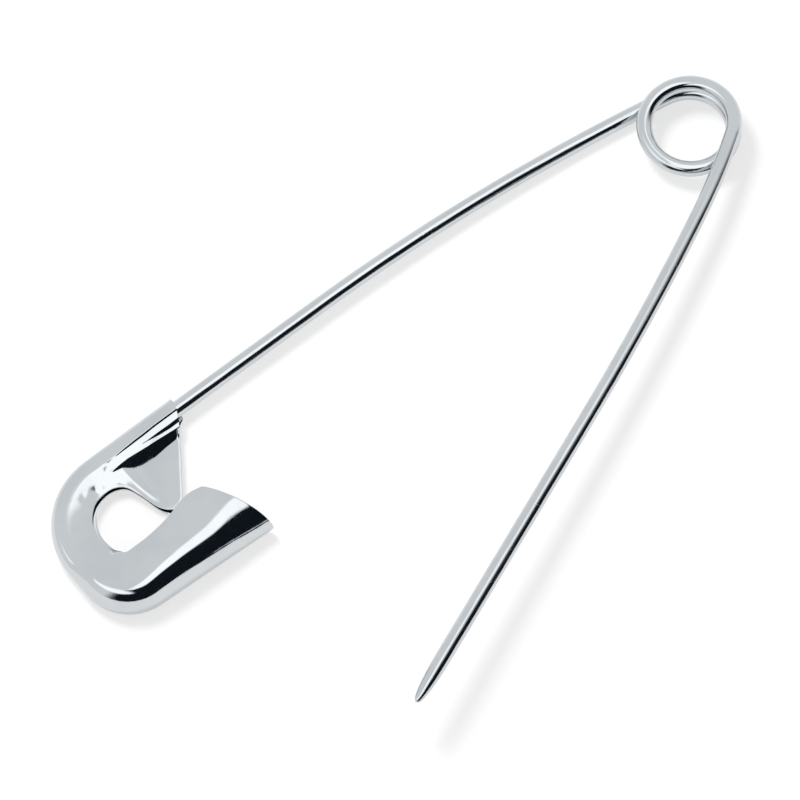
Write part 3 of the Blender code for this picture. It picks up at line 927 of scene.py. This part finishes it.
# %% Crimp steps
CRIMP_STEPS = (
    (1.3, ((0.36, -0.01), (0.53, 0.17), (1.33, 0.34), (1.70, 0.74), (2.20, 0.85), (2.30, 1.20))),
    (2.8, ((0.37, -0.01), (0.55, 0.17), (1.37, 0.35), (1.72, 0.73), (2.12, 0.82), (3.02, 1.71))),
    (4.4, ((0.38, -0.01), (0.56, 0.17), (1.35, 0.34), (1.63, 0.64), (2.05, 0.73), (3.08, 1.71))),
    (5.4, ((0.42, -0.01), (0.61, 0.18), (1.37, 0.34), (1.53, 0.51), (2.02, 0.62), (3.18, 1.71))),
    (6.4, ((0.46, -0.01), (0.65, 0.19), (1.38, 0.34), (1.43, 0.39), (2.00, 0.51), (3.28, 1.71))),
    (7.4, ((0.46, 0.00), (0.66, 0.20), (1.30, 0.34), (1.40, 0.36), (1.92, 0.47), (3.26, 1.71))),
    (8.4, ((0.49, 0.04), (0.69, 0.24), (1.30, 0.37), (1.40, 0.39), (1.83, 0.48), (3.16, 1.70))),
    (9.5, ((0.53, 0.10), (0.70, 0.27), (1.30, 0.40), (1.40, 0.42), (1.73, 0.50), (2.86, 1.61))),
    (10.7, ((0.58, 0.20), (0.72, 0.33), (1.30, 0.45), (1.42, 0.48), (1.75, 0.58), (2.16, 0.92))),
    (12.0, ((0.60, 0.40), (0.70, 0.43), (1.30, 0.60), (1.42, 0.63), (1.80, 0.74), (1.95, 0.81))),
    (13.3, ((0.60, 0.48), (0.66, 0.50), (1.30, 0.68), (1.42, 0.71), (1.90, 0.85), (2.00, 0.88))),
    (14.6, ((0.60, 0.50), (0.66, 0.52), (1.30, 0.70), (1.42, 0.73), (1.90, 0.87), (2.00, 0.90))),
)


def crimp_corners(along):
    """The steps' corners at a distance from the crimp's mouth."""
    stops = [stop * MM for stop, _ in CRIMP_STEPS]
    table = np.array([corners for _, corners in CRIMP_STEPS]) * MM
    return [
        tuple(np.interp(along, stops, table[:, corner, axis]) for axis in range(2))
        for corner in range(table.shape[1])
    ]


print("steps at the mouth, mm:", [in_mm(corner) for corner in crimp_corners(0.0)])

# %% [markdown]
# A press bends sheet round small radii and leaves it flat between them. A smooth curve would blur the
# streaks, so each bend and each flat has rows of its own, the same number in every section.

# %% Bent sheet
CRIMP_BENDS = (0.03 * MM, 0.05 * MM, 0.08 * MM, 0.06 * MM, 0.10 * MM, 0.03 * MM, 0.05 * MM)  # radii
BEND_ROWS = 6
RUN_ROWS = (4, 2, 4, 2, 4, 5, 14, 3)  # within the flats between the bends
LEAST_REACH = 0.02 * MM  # of a bend to each side
REACH_SHARE = 0.45  # of the flat beside it, at most


def straight_run(start, end, rows):
    """Evenly spaced points between two points, without them."""
    return [start + (end - start) * (row + 1) / (rows + 1) for row in range(rows)]


def bent_line(start, end, corner, shares):
    """Points on the curve that leaves start for the corner and arrives at end from it."""
    return [
        (1 - share) ** 2 * start + 2 * share * (1 - share) * corner + share**2 * end for share in shares
    ]


def bent_strip(corners, radii):
    """A section of bent sheet, from the first corner to the last, with a bend at each one between."""
    corners = [np.array(corner) for corner in corners]
    points = [corners[0]]
    for index, radius in enumerate(radii):
        before, corner, after = corners[index : index + 3]
        back, ahead = before - corner, after - corner
        back_length, ahead_length = np.linalg.norm(back), np.linalg.norm(ahead)
        back, ahead = back / back_length, ahead / ahead_length
        half = math.acos(max(-1.0, min(1.0, float(back @ ahead)))) / 2
        reach = max(radius / math.tan(half), LEAST_REACH)
        reach = min(reach, REACH_SHARE * back_length, REACH_SHARE * ahead_length)
        start, end = corner + back * reach, corner + ahead * reach
        points += straight_run(points[-1], start, RUN_ROWS[index])
        points += bent_line(start, end, corner, np.linspace(0.0, 1.0, BEND_ROWS))
    points += straight_run(points[-1], corners[-1], RUN_ROWS[-1])
    return points + [corners[-1]]


print("rows of a bent strip:", 2 + sum(RUN_ROWS) + BEND_ROWS * len(CRIMP_BENDS))

# %% [markdown]
# Over the crimp the front layer is a quarter tube up to the top, which sinks towards the round end, then
# the pressed steps down to the tongue. Its last half millimetre rolls over, as a punched edge does.

# %% Section over the crimp
WALL_ROWS = 24
CRIMP_SINK_REACH = (6.0 * MM, 14.6 * MM)  # from the mouth: where its top starts to sink, and ends
CRIMP_SINK_DEPTH = 0.48 * MM
ROLL_RUN = 0.50 * MM
ROLL_DROP = 0.03 * MM


def quarter(run, start, rise, rows):
    """A quarter of an ellipse, as distance and height, which starts upright and ends level."""
    turns = np.linspace(0.0, math.pi / 2, rows)
    return [(run * (1 - math.cos(turn)), start + rise * math.sin(turn)) for turn in turns]


def tube_profile(across, along, edge_height):
    """The front layer over the crimp, as distance from the outline and height, out to the tongue's edge."""
    top = spine_height + crimp_radius
    first, last = CRIMP_SINK_REACH
    sink = CRIMP_SINK_DEPTH * smooth_step(min(max((along - first) / (last - first), 0.0), 1.0))
    over = quarter(crimp_radius, spine_height, crimp_radius - sink, WALL_ROWS)
    steps = [(crimp_radius + out, top - max(drop, sink)) for out, drop in crimp_corners(along)]
    roll = min(ROLL_RUN, (across - steps[-1][0]) / 2)
    steps += [(across - roll, edge_height + ROLL_DROP), (across, edge_height)]
    bent = bent_strip([over[-1]] + steps, CRIMP_BENDS)
    return np.array(over + [tuple(point) for point in bent[1:]])


print("roll, mm:", in_mm((ROLL_RUN, ROLL_DROP)))

# %% [markdown]
# Away from the crimp the front layer is a rounded wall up to the crown and an easy fall inwards, the dome
# that takes the point. The back layer comes round the fold and runs flat to its inner edge.

# %% Sections of the dome and the back
FOLD_HEIGHT = 1.4 * MM
FOLD_RUN = 1.1 * MM
FOLD_STEPS = 60
CUT_SHARE = 0.999  # points nearer than this to a cut give way to it


def dome_profile(shares, length, crown_height, crown_inset, edge_height):
    """The open front layer, with its rows spread as the tube section's, whose distances are the shares."""
    inset = crown_inset * length
    wall = quarter(inset, FOLD_HEIGHT, crown_height - FOLD_HEIGHT, WALL_ROWS)
    first = shares[WALL_ROWS - 1]
    for share in (shares[WALL_ROWS:] - first) / (1 - first):
        fall = (crown_height - edge_height) * share * share
        wall.append((inset + (length - inset) * share, crown_height - fall))
    return np.array(wall)


def back_profile(length, tube):
    """The back layer from the wall's widest height: round the fold, then flat past its inner edge."""
    widest = tube * spine_height + (1 - tube) * FOLD_HEIGHT
    run = tube * crimp_radius + (1 - tube) * FOLD_RUN
    fold = quarter(run, widest, SHEET / 2 - widest, FOLD_STEPS)
    return fold + [(max(length, run) + SHEET, SHEET / 2)]


def cut_and_space(profile, length, rows):
    """A profile of distance and height, cut at the distance length, in rows evenly spaced points."""
    profile = np.array(profile)
    inside = profile[:, 0] < CUT_SHARE * length
    last = np.interp(length, profile[:, 0], profile[:, 1])
    kept = np.vstack([profile[inside], [length, last]])
    along = np.concatenate([[0.0], np.cumsum(np.linalg.norm(np.diff(kept, axis=0), axis=1))])
    stops = np.linspace(0.0, along[-1], rows)
    return np.column_stack([np.interp(stops, along, kept[:, axis]) for axis in range(2)])


print("fold, mm:", in_mm((FOLD_RUN, FOLD_HEIGHT)))

# %% [markdown]
# The round end carries a few shallow dents from the press. Sculpting could make them, but round hollows
# with named places and sizes are easier to change.

# %% Dents
DENTS = ((12.3, 1.4, 0.60), (15.2, 2.6, 0.50), (16.8, 2.2, 0.35))  # place and size, in millimetres
DENT_SHARE = 0.18  # of a dent's size, as its depth


def dent_depth(plan):
    """How deep the press has dented the front layer at a place."""
    depth = 0.0
    for x, y, size in DENTS:
        away = math.hypot(plan[0] / MM - x, plan[1] / MM - y) / size
        depth += DENT_SHARE * size * MM * math.exp(-away * away)
    return depth


print("dents:", len(DENTS), "deepest, mm:", round(DENT_SHARE * DENTS[0][2], 2))

# %% [markdown]
# Seen from above, a section is a line from the outline to each layer's inner edge. At the two mouths the
# sheet is cut at a slant, so there the front's line leans, and the last section lies along the cut.

# %% One section
BACK_ROWS = 14
CRIMP_MOUTH_PLACES = 0.10  # the stretch in which sections lean towards the crimp's mouth
HOOK_MOUTH_PLACES = 0.4
HOOK_MOUTH_SHARES = (0.152, 0.613)  # the point on the hook's cut, of the clasp's length and width
HOOK_LEAN_SHARE = 0.6
LEAST_ACROSS_SHARE = 0.8


def lean_point(start, end, place):
    """The corner of a front line: its middle, but near a mouth it moves towards the cut."""
    middle = (start + end) / 2
    hook_mouth = np.array(HOOK_MOUTH_SHARES) * clasp_size
    lean = smooth_step(max(0.0, 1 - (LAST_PLACE - place) / HOOK_MOUTH_PLACES)) * HOOK_LEAN_SHARE
    corner = middle + (hook_mouth - middle) * lean
    crimp_lean = smooth_step(max(0.0, 1 - place / CRIMP_MOUTH_PLACES))
    corner[0] += (start[0] - corner[0]) * crimp_lean
    return corner


def front_layer(start, end, place, crown, crown_inset, edge, tube):
    """The front's points from the outline to its inner edge, part tube and part dome."""
    length = np.linalg.norm(end - start)
    top = HOOK_HEIGHT - SHEET / 2
    across = max(end[1] - start[1], LEAST_ACROSS_SHARE * length)
    arch = tube_profile(across, (start[0] + end[0]) / 2, edge * top)
    shares = arch[:, 0] / across
    dome = dome_profile(shares, length, crown * top, crown_inset, edge * top)
    heights = tube * arch[:, 1] + (1 - tube) * dome[:, 1]
    shares = tube * shares + (1 - tube) * dome[:, 0] / length
    line = bent_line(start, end, lean_point(start, end, place), shares)
    return [(*plan, height - dent_depth(plan)) for plan, height in zip(line, heights)]


def back_layer(start, end, tube):
    """The back's points from the outline to its inner edge."""
    length = np.linalg.norm(end - start)
    back = cut_and_space(back_profile(length, tube), length, BACK_ROWS)
    line = bent_line(start, end, (start + end) / 2, back[:, 0] / length)
    return [(*plan, height) for plan, height in zip(line, back[:, 1])]


def clasp_section(row):
    """One section, at the middle of the sheet's thickness, from the back's inner edge to the front's."""
    place, front_x, front_y, back_x, back_y, crown, crown_inset, edge, tube = row
    start = outline(place)
    front_end = (front_x, front_y) * clasp_size
    back_end = (back_x, back_y) * clasp_size
    front = front_layer(start, front_end, place, crown, crown_inset, edge, tube)
    return back_layer(start, back_end, tube)[::-1] + front[1:]


sections = [clasp_section(row) for row in section_rows]
print("sections:", len(sections), "points in each:", len(sections[0]))

# %% [markdown]
# The blank is a grid, and forming it moves each vertex to its point of its section. Solidify gives the
# sheet its thickness to both sides, with the cut edge as a material of its own, and a small Bevel rounds
# its burr. The wall could be modelled on both sides, but then the thickness would have no single value.

# %% Form the clasp
MERGE_SHARE = 0.002  # of the sheet's thickness
BURR_WIDTH = 0.05 * MM
BURR_SEGMENTS = 2
BURR_ANGLE = math.radians(60.0)


def form_blank(name):
    """The grid, which runs from -0.5 to 0.5 both ways, laid on the sections."""
    columns, rows = len(sections) - 1, len(sections[0]) - 1
    mesh = bmesh.new()
    bmesh.ops.create_grid(mesh, x_segments=columns, y_segments=rows, size=0.5)
    for vert in mesh.verts:
        column = round((vert.co.x + 0.5) * columns)
        row = round((vert.co.y + 0.5) * rows)
        vert.co = to_world(sections[column][row])
    bmesh.ops.remove_doubles(mesh, verts=mesh.verts[:], dist=MERGE_SHARE * SHEET)
    bmesh.ops.recalc_face_normals(mesh, faces=mesh.faces[:])
    return to_object(mesh, name, sheet_nickel, edge_nickel)


def make_clasp():
    piece = form_blank("folded_clasp")
    piece.data.shade_smooth()
    wall = piece.modifiers.new("sheet", "SOLIDIFY")
    wall.thickness = SHEET
    wall.offset = 0.0
    wall.use_even_offset = True
    wall.material_offset_rim = 1
    burr = piece.modifiers.new("burr", "BEVEL")
    burr.width = BURR_WIDTH
    burr.segments = BURR_SEGMENTS
    burr.limit_method = "ANGLE"
    burr.angle_limit = BURR_ANGLE
    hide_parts("clasp")
    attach(piece, "fixed_leg")
    return piece


clasp = make_clasp()
print("faces of the blank:", len(clasp.data.polygons))

# %% [markdown]
# ## Sizes
#
# Last, the boxes of the plain solids and of the finished pieces are set side by side, and the finished box
# is printed.

# %% Sizes
visual_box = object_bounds()
sizes = {
    "cad_box": [list(corner) for corner in cad_box],
    "visual_box": [list(corner) for corner in visual_box],
}
print("visual box, mm:", [in_mm(corner) for corner in visual_box])
